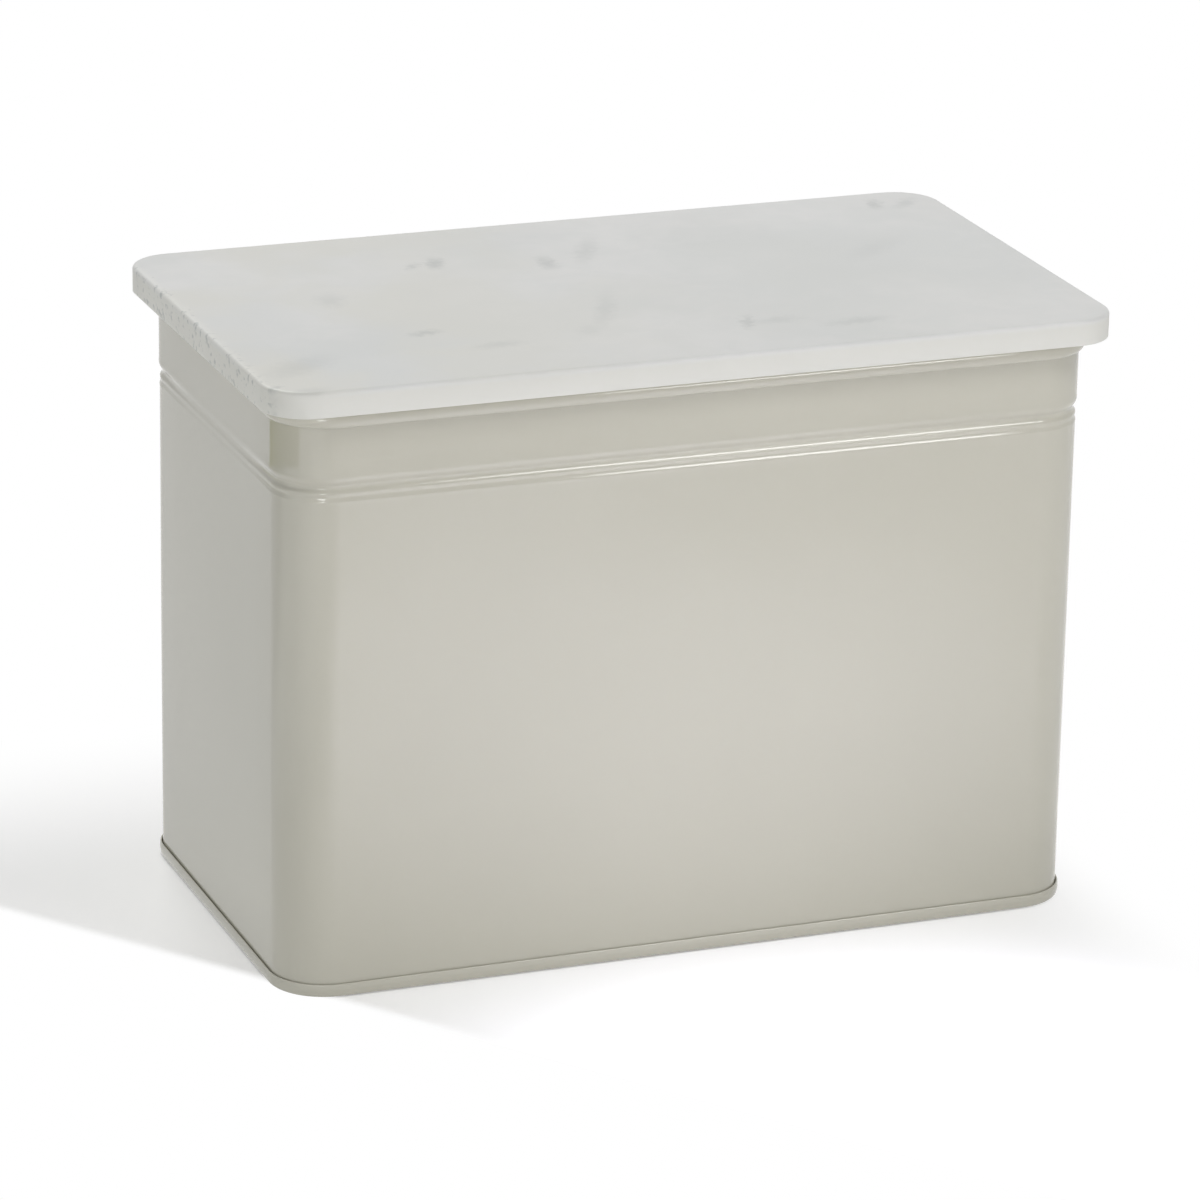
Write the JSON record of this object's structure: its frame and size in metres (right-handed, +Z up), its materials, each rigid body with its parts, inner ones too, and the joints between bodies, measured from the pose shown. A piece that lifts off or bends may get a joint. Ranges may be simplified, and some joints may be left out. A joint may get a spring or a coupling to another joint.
{
  "type": "bread box",
  "caption": "Deep enamelled steel bread box with rounded corners, a rolled rim and a pressed groove, closed by a loose overhanging marble slab.",
  "frame": {"origin": "middle of the footprint, on the surface that the pads stand on", "axes": "+X along the length to the right, +Y from the front to the back, +Z up"},
  "size_m": [0.335, 0.191, 0.2384],
  "materials": {
    "enamel": "gloss enamel, warm putty grey",
    "marble": "honed white marble with faint grey clouds",
    "silicone": "matte, translucent white",
    "pad_rubber": "matte"
  },
  "bodies": {
    "bin": {"bin_wall": "enamel", "base_pan": "enamel", "pad_front_left": "pad_rubber", "pad_front_right": "pad_rubber", "pad_back_left": "pad_rubber", "pad_back_right": "pad_rubber"},
    "lid": {"marble_lid": "marble", "lid_skirt": "enamel", "lid_gasket": "silicone"}
  },
  "joints": [
    {"name": "lid_lift", "type": "slide", "parent": "bin", "child": "lid", "axis": [0, 0, 1], "range_m": [0, 0.12]}
  ]
}
